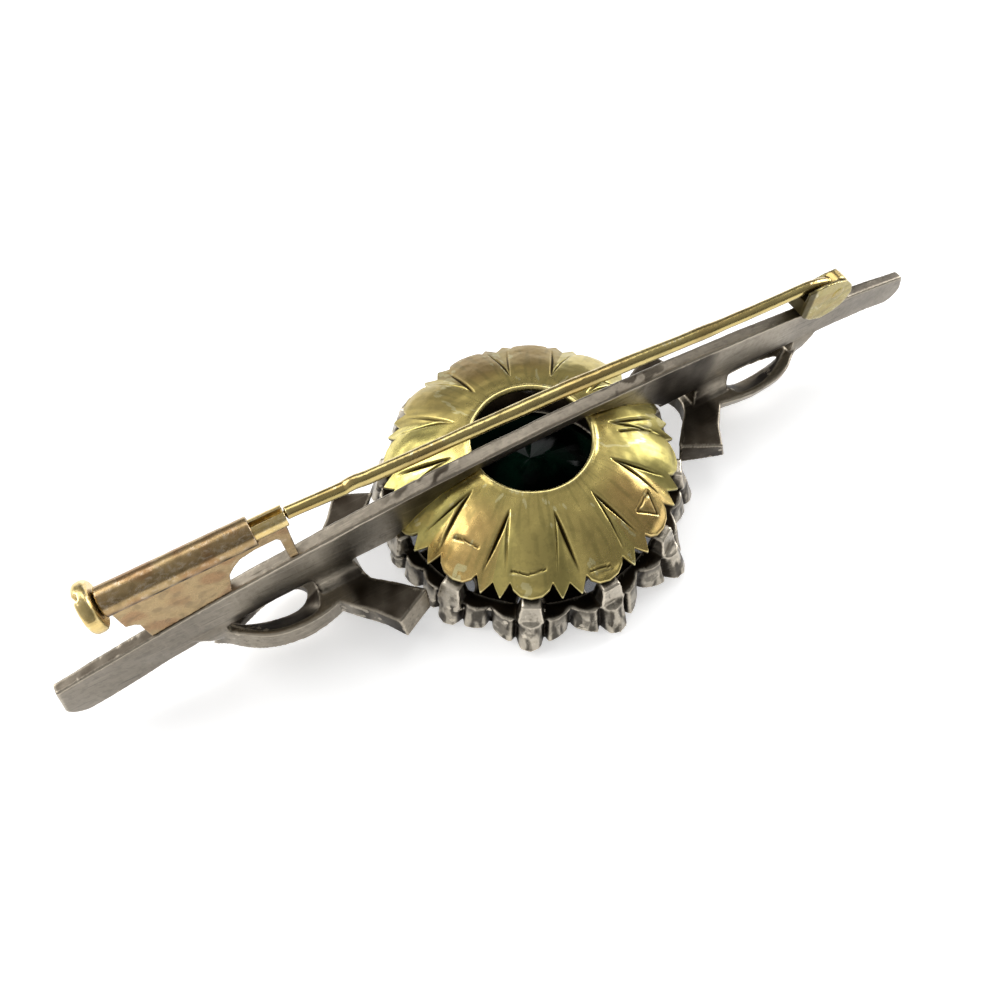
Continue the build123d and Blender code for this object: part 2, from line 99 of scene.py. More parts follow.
def ripple(points: Array, wavelength: float, seed: int) -> Array:
    """Work out a smooth random field as a sum of plane waves.

    Each wave is the cosine of the point's distance along a random direction, divided by a
    length near the wavelength, plus a random phase.

    Args:
        points: Points, one in each row.
        wavelength: Typical length of a wave, in the points' own unit.
        seed: Seed of the random directions, lengths and phases.

    Returns:
        One value for each point, mostly between -2 and 2.
    """
    waves = 20
    chance = np.random.default_rng(seed)
    ways = chance.normal(size=(waves, 3))
    ways /= np.linalg.norm(ways, axis=1, keepdims=True)
    lengths = wavelength * chance.uniform(0.6, 1.8, waves)
    phases = chance.uniform(0.0, 2.0 * math.pi, waves)
    turns = points @ (ways / lengths[:, None]).T * (2.0 * math.pi) + phases
    return np.cos(turns).sum(axis=1) / math.sqrt(waves / 2.0)


def blotches(points: Array, wavelength: float, seed: int, low: float, high: float
             ) -> Array:
    """Make soft blotches, 0 where the random field is under low and 1 where it is over high."""
    return smooth_step(ripple(points, wavelength, seed), low, high)


def closed_quads(rows: int, columns: int) -> Array:
    """List the quads of a grid whose last row and column join the first ones.

    Args:
        rows: Number of rows of points, which are numbered row by row.
        columns: Number of points in a row.

    Returns:
        Four point numbers for each quad.
    """
    row, column = np.divmod(np.arange(rows * columns), columns)
    here, beyond = row * columns, (row + 1) % rows * columns
    beside = (column + 1) % columns
    return np.stack((here + column, here + beside, beyond + beside, beyond + column), axis=-1)


def add_object(name: str, data: Any) -> Thing:
    """Add an object to the scene, at the origin.

    Args:
        name: Name of the object.
        data: Its mesh, light or camera.

    Returns:
        The new object.
    """
    thing = bpy.data.objects.new(name, data)
    bpy.context.scene.collection.objects.link(thing)
    return thing


def new_piece(name: str, points_mm: Array, quads: Array) -> Thing:
    """Make a smooth closed mesh object whose faces point outwards.

    The tetrahedra from the origin to both halves of each quad sum to the mesh's volume, which
    is negative when the quads have to be turned over.

    Args:
        name: Name of the piece.
        points_mm: Points in millimetres, one in each row.
        quads: Four point numbers for each quad.

    Returns:
        The new object.
    """
    a, b, c, d = (points_mm[quads[:, corner]] for corner in range(4))
    if np.sum(a * (np.cross(b, c) + np.cross(c, d))) < 0.0:
        quads = quads[:, ::-1]
    mesh = bpy.data.meshes.new(name)
    mesh.from_pydata((points_mm * MM).tolist(), [], quads.tolist())
    mesh.shade_smooth()
    return add_object(name, mesh)


def read_rows(items: Any, key: str) -> Array:
    """Read a vector from each item of one of a mesh's collections.

    Args:
        items: The mesh's points or their normals.
        key: Name of the vector in each item.

    Returns:
        One row for each item.
    """
    flat = np.empty(len(items) * 3)
    items.foreach_get(key, flat)
    return flat.reshape(-1, 3)


def surface_of(piece: Thing) -> tuple[Array, Array]:
    """Read a piece's points, in millimetres, and the unit normals at them."""
    mesh = piece.data
    return read_rows(mesh.vertices, "co") / MM, read_rows(mesh.vertex_normals, "vector")


def write_points(mesh: bpy.types.Mesh, points: Array) -> None:
    """Put new places, in the mesh's own unit, for all points into a mesh."""
    mesh.vertices.foreach_set("co", points.ravel())
    mesh.update()


def write_mask(piece: Thing, name: str, values: Array) -> None:
    """Store one number for each point of a piece, for its material to read."""
    attribute = piece.data.attributes.new(name, "FLOAT", "POINT")
    attribute.data.foreach_set("value", values.astype(np.float32).ravel())


def relax(points: Array, edges: Array, passes: int) -> Array:
    """Round a mesh's fine edges without shrinking it.

    Each pass moves every point a share of the way to the mean of its neighbours, and then a
    slightly larger share back out.

    Args:
        points: One row for each point.
        edges: Two point numbers for each edge.
        passes: Number of passes.

    Returns:
        The new places.
    """
    inward, outward = 0.5, -0.52
    ends = np.concatenate([edges, edges[:, ::-1]])
    counts = np.bincount(ends[:, 0], minlength=len(points))[:, None]
    for _ in range(passes):
        for share in (inward, outward):
            sums = np.stack([np.bincount(ends[:, 0], points[ends[:, 1], axis], len(points))
                             for axis in range(3)], axis=1)
            points = points + share * (sums / counts - points)
    return points


@dataclass(frozen=True)
class Handwork:
    """How a hand-made metal piece differs from its exact form.

    Attributes:
        grain: Distance between the points of its fine mesh, in millimetres.
        rounding: Number of passes that round its edges.
        waviness: How far its surface wanders, in millimetres.
        wave: Length over which it wanders, in millimetres.
        seed: Seed of the wandering.
    """

    grain: float
    rounding: int
    waviness: float
    wave: float
    seed: int

    def fine_mesh(self, node: str) -> bpy.types.Mesh:
        """Remesh a merged copy of a node's mesh with even, fine quads.

        Args:
            node: Name of the CAD node.

        Returns:
            A new mesh in millimetres.
        """
        shaper = bmesh.new()
        shaper.from_mesh(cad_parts[node].data)
        bmesh.ops.scale(shaper, vec=Vector((1, 1, 1)) / MM, verts=shaper.verts)
        bmesh.ops.remove_doubles(shaper, verts=shaper.verts, dist=MERGE_MM)
        merged = bpy.data.meshes.new(node + "_merged")
        shaper.to_mesh(merged)
        shaper.free()
        holder = add_object(node + "_merged", merged)
        remesh = holder.modifiers.new("Even quads", "REMESH")
        remesh.mode = "VOXEL"
        remesh.voxel_size = self.grain
        remesh.use_smooth_shade = True
        graph = bpy.context.evaluated_depsgraph_get()
        fine = bpy.data.meshes.new_from_object(holder.evaluated_get(graph))
        bpy.data.objects.remove(holder)
        bpy.data.meshes.remove(merged)
        return fine

    def copy_of(self, node: str, name: str) -> Thing:
        """Make the worn, hand-made form of a CAD node, in place and inside the node's box.

        The fine mesh is relaxed, and then each point moves along its normal by the waviness
        times a smooth random field.

        Args:
            node: Name of the CAD node.
            name: Name of the new piece.

        Returns:
            The new piece.
        """
        mesh = self.fine_mesh(node)
        edges = np.empty(len(mesh.edges) * 2, dtype=np.int64)
        mesh.edges.foreach_get("vertices", edges)
        points = relax(read_rows(mesh.vertices, "co"), edges.reshape(-1, 2), self.rounding)
        write_points(mesh, points)
        wander = self.waviness * ripple(points, self.wave, self.seed)[:, None]
        points = (points + wander * read_rows(mesh.vertex_normals, "vector")) * MM
        write_points(mesh, np.clip(points, *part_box(node)))
        mesh.shade_smooth()
        mesh.name = name
        return add_object(name, mesh)


# Shader nodes


class Graph:
    """Adds nodes to one node tree and joins them."""

    def __init__(self, tree: bpy.types.NodeTree) -> None:
        """Start from an empty tree."""
        self.tree = tree
        tree.nodes.clear()

    def add(self, kind: str, sockets: dict[Any, Any] | None = None, **settings: Any
            ) -> bpy.types.Node:
        """Add a node.

        Args:
            kind: Blender's name for the node's type.
            sockets: Value or source socket for each input, by name or number.
            settings: The node's own settings.

        Returns:
            The new node.
        """
        node = self.tree.nodes.new(kind)
        for name, value in settings.items():
            setattr(node, name, value)
        for key, value in (sockets or {}).items():
            if isinstance(value, Socket):
                self.tree.links.new(value, node.inputs[key])
            else:
                node.inputs[key].default_value = value
        return node

    def math(self, operation: str, first: Any, second: Any) -> Socket:
        """Join two values or sockets by one of Blender's math operations."""
        return self.add("ShaderNodeMath", {0: first, 1: second}, operation=operation).outputs[0]

    def scale(self, value: Any, factor: float) -> Socket:
        """Multiply a socket by a number."""
        return self.math("MULTIPLY", value, factor)

    def span(self, value: Any, low: float, high: float, to_low: float = 0.0,
             to_high: float = 1.0) -> Socket:
        """Map low to high onto another range, smoothly and without passing its ends."""
        given = {0: value, 1: low, 2: high, 3: to_low, 4: to_high}
        return self.add("ShaderNodeMapRange", given, interpolation_type="SMOOTHSTEP").outputs[0]

    def mix(self, share: Any, first: Any, second: Any) -> Socket:
        """Mix two colours.

        Args:
            share: How much of the second colour.
            first: First colour or socket.
            second: Second colour or socket.

        Returns:
            The mixed colour's socket.
        """
        colors = {0: share}
        for number, value in ((6, first), (7, second)):
            colors[number] = value if isinstance(value, Socket) else (*value, 1.0)
        return self.add("ShaderNodeMix", colors, data_type="RGBA").outputs[2]

    def tint(self, color: Any, other: Any, mask: Any, strength: float) -> Socket:
        """Mix another colour into a colour where a mask is high."""
        return self.mix(self.scale(mask, strength), color, other)

    def mask(self, name: str) -> Socket:
        """Read an attribute that a piece's own mesh brings."""
        return self.add("ShaderNodeAttribute", attribute_name=name).outputs["Fac"]

    def bump(self, height: Any, strength: float, depth_mm: float = 0.03) -> Socket:
        """Turn heights into normals."""
        return self.add("ShaderNodeBump", {"Height": height, "Strength": strength,
                                           "Distance": depth_mm * MM}).outputs[0]

    def place(self, group: bpy.types.NodeTree, **values: Any) -> Any:
        """Place a node group.

        Args:
            group: The group's tree.
            values: Value for each of its inputs, with _ for a space in its name.

        Returns:
            The group's output sockets, by name.
        """
        inputs = {name.replace("_", " "): value for name, value in values.items()}
        node = self.add("ShaderNodeGroup", node_tree=group)
        for name, value in inputs.items():
            node.inputs[name].default_value = value
        return node.outputs


Sockets = dict[str, Socket]


def make_group(name: str, inputs: dict[str, Any], fill: Callable[[Graph, Any], Sockets]
               ) -> bpy.types.NodeTree:
    """Build a shader node group.

    Args:
        name: Name of the group.
        inputs: Default value of each input, a number or three of them.
        fill: Adds the group's nodes and returns a socket for each output, each one number.

    Returns:
        The group's tree.
    """
    tree = bpy.data.node_groups.new(name, "ShaderNodeTree")
    for key, value in inputs.items():
        kind = "NodeSocketVector" if isinstance(value, tuple) else "NodeSocketFloat"
        socket = tree.interface.new_socket(key, in_out="INPUT", socket_type=kind)
        socket.default_value = value
    graph = Graph(tree)
    made = fill(graph, graph.add("NodeGroupInput").outputs)
    for key in made:
        tree.interface.new_socket(key, in_out="OUTPUT", socket_type="NodeSocketFloat")
    graph.add("NodeGroupOutput", made)
    return tree


def fill_wear_and_sheen(graph: Graph, given: Any) -> Sockets:
    """Turn a surface's sharpness into a mask of sharp edges, which are rubbed and get a painted
    highlight, and one of hollows.

    Args:
        graph: The group's graph.
        given: The group's inputs, by name.

    Returns:
        The sockets for Edge and Hollow.
    """
    sharpness = graph.add("ShaderNodeNewGeometry").outputs["Pointiness"]
    above = graph.math("SUBTRACT", sharpness, 0.5)
    edge = graph.math("DIVIDE", above, given["Edge Size"])
    hollow = graph.math("DIVIDE", graph.scale(above, -1.0), given["Hollow Size"])
    return {"Edge": graph.span(edge, 0.1, 1.0), "Hollow": graph.span(hollow, 0.1, 1.0)}


def fill_mottling(graph: Graph, given: Any) -> Sockets:
    """Spread soft blotches over a surface.

    Args:
        graph: The group's graph.
        given: The group's inputs, by name.

    Returns:
        The sockets for Mask and Height.
    """
    softness = 0.06
    place = graph.add("ShaderNodeTexCoord").outputs["Object"]
    noise = graph.add("ShaderNodeTexNoise", {"Vector": place, "Scale": given["Scale"],
                                             "Detail": 5.0, "Roughness": 0.6})
    height = noise.outputs["Fac"]
    above = graph.math("SUBTRACT", height, given["Level"])
    return {"Mask": graph.span(above, -softness, softness), "Height": height}


def fill_scratches(graph: Graph, given: Any) -> Sockets:
    """Draw fine lines along a direction by stretching a noise.

    Args:
        graph: The group's graph.
        given: The group's inputs, by name.

    Returns:
        The sockets for Mask and Height.
    """
    place = graph.add("ShaderNodeTexCoord").outputs["Object"]
    turned = graph.add("ShaderNodeMapping", {"Vector": place, "Rotation": given["Turn"],
                                             "Scale": given["Stretch"]})
    noise = graph.add("ShaderNodeTexNoise", {"Vector": turned.outputs[0], "Scale": 1.0,
                                             "Detail": 4.0, "Roughness": 0.7})
    height = noise.outputs["Fac"]
    return {"Mask": graph.span(height, 0.56, 0.68), "Height": height}


# Edge marks sharp edges, which the finishes make paler as rubbed metal and as a painted highlight;
# Hollow marks hollows.
WEAR_AND_SHEEN = make_group("Wear and sheen", {"Edge Size": 0.05, "Hollow Size": 0.05}, fill_wear_and_sheen)
MOTTLING = make_group("Mottling", {"Scale": 400.0, "Level": 0.5}, fill_mottling)
SCRATCHES = make_group("Scratches", {"Stretch": (300.0, 6000.0, 6000.0), "Turn": (0.0, 0.0, 0.0)},
                       fill_scratches)


def toned(color: Color, share: float, lift: float = 0.0) -> Color:
    """Scale a colour and add white to it, without passing 1."""
    return tuple(min(1.0, lift + share * part) for part in color)


def dress(thing: Thing, material: bpy.types.Material) -> None:
    """Put one material on all of a piece or of a CAD node's object.

    Args:
        thing: The object.
        material: The material.
    """
    slots = thing.data.materials
    if len(slots) == 0:
        slots.append(material)
    for number in range(len(slots)):
        slots[number] = material


@dataclass(frozen=True)
class Finish:
    """One finish, which builds its own material.

    Attributes:
        name: Name of the material.
    """

    name: str

    def sockets(self, graph: Graph) -> dict[str, Any]:
        """Add the finish's nodes.

        Args:
            graph: The material's graph.

        Returns:
            Value or source socket for the inputs of the material's shader.
        """
        raise NotImplementedError

    def material(self) -> bpy.types.Material:
        """Build the material round one Principled shader.

        Returns:
            The new material.
        """
        material = bpy.data.materials.new(self.name)
        material.use_nodes = True
        material.diffuse_color = (0.6, 0.6, 0.6, 1.0)
        graph = Graph(material.node_tree)
        shader = graph.add("ShaderNodeBsdfPrincipled", self.sockets(graph))
        graph.add("ShaderNodeOutputMaterial", {"Surface": shader.outputs[0]})
        return material


@dataclass(frozen=True)
class SilverFinish(Finish):
    """Worn silver: grey where it is rubbed, with painted highlights on sharp edges, and brown
    black where its Shade attribute, which holds tarnish and painted shade, is high.

    Attributes:
        bright: Colour of rubbed metal.
        tarnish: Colour of tarnish, also used for the painted shade that the Shade attribute holds.
        level: Noise level above which specks of tarnish show, lower for more of them.
        specks: How dark the specks are.
        stretch: Stretch of the scratches.
        roughness: Roughness of bright and of tarnished metal.
        dulling: How strong broad and fine dull patches are.
        rubbing_and_sheen: How strong bright lines along, bright lines across and bright edges are;
            the bright edges are rubbed metal with a painted highlight.
        settled: How dark drawn lines and hollows are.
        relief: Depth of the lines, the fine grain and the specks.
    """

    bright: Color
    tarnish: Color
    level: float
    specks: float = 0.6
    stretch: Point = (220.0, 5200.0, 5200.0)
    roughness: Span = (0.25, 0.40)
    dulling: Span = (0.45, 0.30)
    rubbing_and_sheen: tuple[float, float, float] = (0.55, 0.20, 0.75)
    settled: Span = (0.55, 0.8)
    relief: tuple[float, float, float] = (0.7, 0.6, 1.2)

    def sockets(self, graph: Graph) -> dict[str, Any]:
        """Layer dull patches, drawn lines, rubbed metal with painted highlights on edges, settled
        tarnish, and the tarnish and painted shade of the Shade attribute.

        Args:
            graph: The material's graph.

        Returns:
            Value or source socket for the inputs of the material's shader.
        """
        wear_and_sheen = graph.place(WEAR_AND_SHEEN, Edge_Size=0.05, Hollow_Size=0.07)
        lines = graph.place(SCRATCHES, Stretch=self.stretch)
        cross = graph.place(SCRATCHES, Stretch=(4200.0, 4200.0, 380.0), Turn=(0.0, 0.5, 0.3))
        fine = graph.place(MOTTLING, Scale=2400.0, Level=0.54)
        specks = graph.place(MOTTLING, Scale=750.0, Level=self.level)
        broad = graph.place(MOTTLING, Scale=170.0, Level=0.52)
        along, across, edges = self.rubbing_and_sheen
        shade = graph.tint(self.bright, toned(self.bright, 0.62), broad["Mask"], self.dulling[0])
        shade = graph.tint(shade, toned(self.bright, 0.50), fine["Mask"], self.dulling[1])
        drawn = graph.span(lines["Height"], 0.42, 0.30)
        shade = graph.tint(shade, self.tarnish, drawn, self.settled[0])
        rubbed = graph.math("MAXIMUM", graph.scale(lines["Mask"], along),
                            graph.scale(cross["Mask"], across))
        # Painted highlight: sharp edges turn pale, as rubbed metal and as light catching them.
        rubbed = graph.math("MAXIMUM", rubbed, graph.scale(wear_and_sheen["Edge"], edges))
        shade = graph.mix(rubbed, shade, toned(self.bright, 1.6))
        dark = graph.math("MAXIMUM", graph.scale(wear_and_sheen["Hollow"], self.settled[1]),
                          graph.scale(specks["Mask"], self.specks))
        # The Shade attribute brings tarnish and painted shade, both in the tarnish colour.
        dark = graph.math("MAXIMUM", graph.mask("Shade"), dark)
        # Painted highlight: sharp edges stay clear of tarnish and of painted shade.
        kept = graph.math("SUBTRACT", 1.0, graph.scale(wear_and_sheen["Edge"], edges))
        dark = graph.math("MULTIPLY", dark, kept)
        rough = graph.math("ADD", graph.span(dark, 0.0, 1.0, *self.roughness),
                           graph.scale(fine["Height"], 0.14))
        height = graph.math("ADD", graph.scale(lines["Height"], self.relief[0]),
                            graph.scale(fine["Height"], self.relief[1]))
        height = graph.math("ADD", height, graph.scale(specks["Height"], self.relief[2]))
        return {"Base Color": graph.mix(dark, shade, self.tarnish), "Metallic": 1.0,
                "Roughness": rough, "Normal": graph.bump(height, 0.45)}


@dataclass(frozen=True)
class GoldFinish(Finish):
    """Polished gold with soft changes of hue, fine scratches, dark cut lines, painted shade from
    its own mask and painted highlights on sharp edges.

    Attributes:
        yellow: Main colour.
        warm: Colour of warmer patches.
        level: Noise level above which the warm colour shows.
        roughness: Roughness of clean gold.
        grain: Share of fine dark grain.
        masks: Whether the piece brings its own attributes for settled grime and painted shade,
            warmth and streaks.
        dirt_and_shade: Colour of what has settled in cut lines and hollows, also used for painted
            shade.
        patches: How warm the patches are, and how much of that is left beside own masks.
        settled: How dirty hollows are, and how much of that is left beside own masks.
    """

    yellow: Color = (0.66, 0.575, 0.19)
    warm: Color = (0.68, 0.47, 0.17)
    level: float = 0.58
    roughness: float = 0.20
    grain: float = 0.14
    masks: bool = True
    dirt_and_shade: Color = (0.030, 0.021, 0.007)
    patches: Span = (0.45, 0.4)
    settled: Span = (0.8, 0.5)

    def sockets(self, graph: Graph) -> dict[str, Any]:
        """Layer warm patches, streaks, grain, rubbed edges with painted highlights, and dirty cut
        lines and hollows with painted shade.

        Args:
            graph: The material's graph.

        Returns:
            Value or source socket for the inputs of the material's shader.
        """
        wear_and_sheen = graph.place(WEAR_AND_SHEEN, Edge_Size=0.07, Hollow_Size=0.07)
        patches = graph.place(MOTTLING, Scale=210.0, Level=self.level)
        fine = graph.place(MOTTLING, Scale=2200.0, Level=0.54)
        lines = graph.place(SCRATCHES, Stretch=(500.0, 3800.0, 3800.0), Turn=(0.0, 0.0, 0.5))
        warmth = graph.scale(patches["Mask"], self.patches[0])
        dirt_and_shade_mask = graph.scale(wear_and_sheen["Hollow"], self.settled[0])
        if self.masks:
            warmth = graph.math("MAXIMUM", graph.scale(warmth, self.patches[1]),
                                graph.mask("Warmth"))
            # The piece's own mask brings grime in cut lines and painted shade.
            dirt_and_shade_mask = graph.math("MAXIMUM", graph.scale(dirt_and_shade_mask, self.settled[1]), graph.mask("DirtAndShade"))
        color = graph.mix(warmth, self.yellow, self.warm)
        if self.masks:
            color = graph.tint(color, toned(self.yellow, 0.45), graph.mask("Streak"), 0.35)
        color = graph.tint(color, self.dirt_and_shade, fine["Mask"], self.grain)
        # Painted highlight: sharp edges turn paler and whiter, as rubbed metal and as light
        # catching them.
        color = graph.tint(color, toned(self.yellow, 0.95, 0.22), wear_and_sheen["Edge"], 0.7)
        rough = graph.math("ADD", self.roughness, graph.scale(fine["Height"], 0.16))
        rough = graph.math("ADD", rough, graph.scale(dirt_and_shade_mask, 0.3))
        height = graph.math("ADD", graph.scale(lines["Height"], 0.5),
                            graph.scale(patches["Height"], 2.0))
        return {"Base Color": graph.mix(dirt_and_shade_mask, color, self.dirt_and_shade), "Metallic": 1.0,
                "Roughness": rough, "Normal": graph.bump(height, 0.25)}


@dataclass(frozen=True)
class CloudedFinish(Finish):
    """A smooth surface with soft clouds of a second colour.

    Attributes:
        ground: Main colour.
        cloud: Colour of the clouds.
        strength: How strong the clouds are.
        scale: Scale of the noise that makes them.
        level: Noise level above which they show.
        polish: Least roughness and how much the noise adds, where the roughness changes.
        even: Values of the shader's inputs that are the same all over.
    """

    ground: Color
    cloud: Color
    strength: float
    scale: float
    level: float
    polish: Span | None
    even: dict[str, Any]

    def sockets(self, graph: Graph) -> dict[str, Any]:
        """Let the clouds change the colour and the polish.

        Args:
            graph: The material's graph.

        Returns:
            Value or source socket for the inputs of the material's shader.
        """
        clouds = graph.place(MOTTLING, Scale=self.scale, Level=self.level)
        color = graph.tint(self.ground, self.cloud, clouds["Mask"], self.strength)
        if self.polish is None:
            return {"Base Color": color, **self.even}
        rough = graph.math("ADD", self.polish[0], graph.scale(clouds["Height"], self.polish[1]))
        return {"Base Color": color, "Roughness": rough, **self.even}


AGATE = CloudedFinish("Agate", (0.0006, 0.0012, 0.0008), (0.0015, 0.009, 0.005), 1.0, 190.0, 0.5,
                      (0.06, 0.10), {"IOR": 1.54, "Specular IOR Level": 0.02})
DIAMOND = CloudedFinish("Diamond", (0.45, 0.46, 0.48), (0.36, 0.368, 0.384), 0.15, 900.0, 0.55,
                        (0.0, 0.04), {"IOR": 2.1, "Transmission Weight": 0.9})
PAPER = CloudedFinish("Floor paper", (0.93, 0.93, 0.93), (0.86, 0.86, 0.86), 0.04, 1500.0, 0.5,
                      None, {"Roughness": 0.9, "Specular IOR Level": 0.2,
                             "Emission Color": (1.0, 1.0, 1.0, 1.0), "Emission Strength": 0.45})


def seat_piece(piece: Thing, finish: Finish, body: Body, slot: Slot, *nodes: str
               ) -> None:
    """Dress a piece, tie it to its body and hide the CAD nodes that it stands for.

    Args:
        piece: The piece.
        finish: Its finish.
        body: The body that it rides on.
        slot: The material slot that its finish comes from; not used.
        nodes: Names of the CAD nodes that it replaces.
    """
    dress(piece, finish.material())
    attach(piece, body.value)
    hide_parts(*nodes)


# Sub-assemblies


@dataclass
class Cup:
    """The domed gold cup with its window, petals, teeth and cut lines.

    Attributes:
        profile: Radius and height of the dome, from the window to the rim, in millimetres.
        petals: Number of petals.
        rim: Angle from a petal's middle and radius of half its outline and the tooth beside it.
        wall: Thickness of the sheet.
        apex: Radius at which two cut lines meet.
        cut_end: Radius and angle from the middle between petals at which a cut line ends.
        crown: How far a petal bulges.
        trough: How far the wedge between two cut lines sinks.
        droop: How far the petals' ends turn down.
        lip: Height and half width of the window's raised lip.
        cut: Depth and half width of a cut line.
        strengths: How strong both cut lines of each wedge are, from the wedge after +X on.
        scratch: Strength and half width of a short scratch.
        scratches: Short scratches: angle and radius of both ends.
        warmth: Share of warm colour on each petal, from the one at +X round to +Y and on; it
            paints the warm reflections seen on the petals.
        petal_shade: How much painted shade darkens each petal.
        columns: Points round the cup for each petal.
        rows: Rows of points on the outside, an edge, the inside and an edge.
    """

    profile: tuple[Span, ...] = ((3.70, 7.48), (5.10, 7.12), (6.90, 6.34), (8.20, 5.46),
                                 (9.40, 4.52))
    petals: int = 12
    rim: tuple[Span, ...] = ((0.0, 9.08), (4.0, 8.98), (6.8, 8.72), (8.3, 8.38), (11.3, 9.16),
                             (15.0, 8.46))
    wall: float = 0.42
    apex: float = 4.90
    cut_end: Span = (8.25, 4.8)
    crown: float = 0.20
    trough: float = 0.16
    droop: float = 0.20
    lip: Span = (0.07, 0.12)
    cut: Span = (0.26, 0.085)
    strengths: tuple[Span, ...] = (
        (0.8, 0.7), (0.7, 0.9), (0.6, 1.0), (0.9, 0.6), (0.6, 0.9), (1.0, 0.7), (0.7, 1.0),
        (1.0, 0.5), (0.45, 1.0), (0.7, 0.9), (1.0, 0.9), (0.9, 0.8))
    scratch: Span = (0.7, 0.06)
    scratches: tuple[tuple[float, float, float, float], ...] = (
        (203.5, 7.42, 208.8, 7.26), (208.8, 7.26, 215.2, 7.30), (295.8, 7.47, 307.5, 7.49),
        (295.8, 7.47, 301.8, 8.48), (307.5, 7.49, 301.8, 8.48), (231.8, 7.95, 238.5, 8.10),
        (238.5, 8.10, 245.8, 7.85), (263.5, 8.43, 272.2, 8.60), (338.2, 5.4, 342.0, 7.6),
        (20.0, 6.4, 10.0, 7.6), (172.0, 7.6, 180.0, 7.3))
    warmth: tuple[float, ...] = (0.1, 0.3, 0.9, 1.0, 0.5, 0.05, 0.0, 1.0, 0.3, 0.45, 1.0, 0.0)
    petal_shade: tuple[float, ...] = (0.2, 0.2, 0.5, 0.55, 0.35, 0.0, 0.05, 0.0, 0.2, 0.0, 0.0, 0.22)
    columns: int = 84
    rows: tuple[int, int, int, int] = (58, 5, 12, 5)

    def height(self, radius: Array) -> Array:
        """Work out the dome's height as the quartic through the profile's five points."""
        radii, heights = np.array(self.profile).T
        return np.polyval(np.polyfit(radii, heights, len(radii) - 1), radius)

    def outline(self, angle: Array) -> Array:
        """Find the rim's radius at each angle, in degrees, from a petal's middle."""
        angles, radii = np.array(self.rim).T
        return np.interp(np.abs(angle), angles, radii)

    def cut_lines(self, radius: Array, turn: Array) -> Array:
        """Work out how deep each point lies in a cut line or a short scratch.

        A cut line is a narrow bell across and a leaf along, so it tapers to both ends. A
        scratch is a bell of the distance from its own straight line.

        Args:
            radius: Distance of each point from the axis.
            turn: Angle of each point about the axis, in degrees.

        Returns:
            A share from 0 to 1.
        """
        pitch = 360.0 / self.petals
        end_radius, end_angle = self.cut_end
        along = np.clip((radius - self.apex) / (end_radius - self.apex), 0.0, 1.0)
        leaf = np.sin(math.pi * along ** 0.8) ** 0.6
        wedge = (turn // pitch).astype(int) % self.petals
        off_middle = turn % pitch - pitch / 2
        deepest = np.zeros(radius.shape)
        for side, sign in ((0, -1.0), (1, 1.0)):
            strength = np.array(self.strengths)[wedge, side]
            width = self.cut[1] * (0.35 + 0.65 * leaf) * (0.5 + 0.5 * strength)
            off_line = np.radians(off_middle - sign * end_angle * along) * radius / width
            deepest = np.maximum(deepest, strength * leaf * np.exp(-off_line ** 2))
        place = radius * np.exp(1j * np.radians(turn))
        strength, half_width = self.scratch
        for low_angle, low_radius, high_angle, high_radius in self.scratches:
            start = low_radius * np.exp(1j * math.radians(low_angle))
            way = high_radius * np.exp(1j * math.radians(high_angle)) - start
            share = np.clip(((place - start) * way.conjugate()).real / abs(way) ** 2, 0.0, 1.0)
            apart = np.abs(place - start - share * way)
            deepest = np.maximum(deepest, strength * np.exp(-(apart / half_width) ** 2))
        return deepest

    def relief(self, radius: Array, turn: Array) -> tuple[Array, Array]:
        """Work out how far the outside stands off the plain dome.

        A petal bulges as 1 minus a power of the share of the way to its cut line. The wedge
        between two cut lines sinks in the same way. The window has a thin raised lip, and the
        petals turn down at their ends.

        Args:
            radius: Distance of each point from the axis.
            turn: Angle of each point about the axis, in degrees.

        Returns:
            The offset in millimetres and the mask of the cut lines.
        """
        pitch = 360.0 / self.petals
        end_radius, end_angle = self.cut_end
        between = np.abs(turn % pitch - pitch / 2)
        wedge = end_angle * np.clip((radius - self.apex) / (end_radius - self.apex), 0.0, 1.15)
        out = smooth_step(radius, self.apex - 0.4, end_radius)
        across_petal = np.clip((pitch / 2 - between) / (pitch / 2 - wedge), 0.0, 1.0)
        across_wedge = np.clip(between / np.maximum(wedge, 0.01), 0.0, 1.0)
        in_wedge = (between < wedge).astype(float)
        bulge = self.crown * (1.0 - across_petal ** 2.4) * out * (1.0 - in_wedge)
        sink = self.trough * (1.0 - across_wedge ** 2) * out * in_wedge
        groove = self.cut_lines(radius, turn)
        lip_height, lip_width = self.lip
        lip = lip_height * np.exp(-((radius - self.profile[0][0] - lip_width) / lip_width) ** 2)
        turn_down = self.droop * smooth_step(radius, 8.35, 9.1) ** 2 * (1.0 - in_wedge)
        return bulge - sink - self.cut[0] * groove + lip - turn_down, groove

    def section(self) -> tuple[Array, Array, Array]:
        """Go once round the sheet's section: outside, rim's edge, inside and window's edge.

        Between the two faces an edge is half an ellipse.

        Returns:
            The share of the way from window to rim, the share of the wall's thickness below
            the outside, and how far each row swells away from the axis, in millimetres.
        """
        outside, rim_edge, inside, window_edge = self.rows
        side = np.linspace(0.0, math.pi, rim_edge + 2)[1:-1]
        hole_side = np.linspace(math.pi, 0.0, window_edge + 2)[1:-1]
        share = np.concatenate([np.linspace(0.0, 1.0, outside), np.ones(rim_edge),
                                np.linspace(1.0, 0.0, inside), np.zeros(window_edge)])
        level = np.concatenate([np.zeros(outside), (1.0 - np.cos(side)) / 2, np.ones(inside),
                                (1.0 - np.cos(hole_side)) / 2])
        swell = np.concatenate([np.zeros(outside), np.sin(side), np.zeros(inside),
                                -np.sin(hole_side)])
        return share, level, swell * self.wall * 0.22

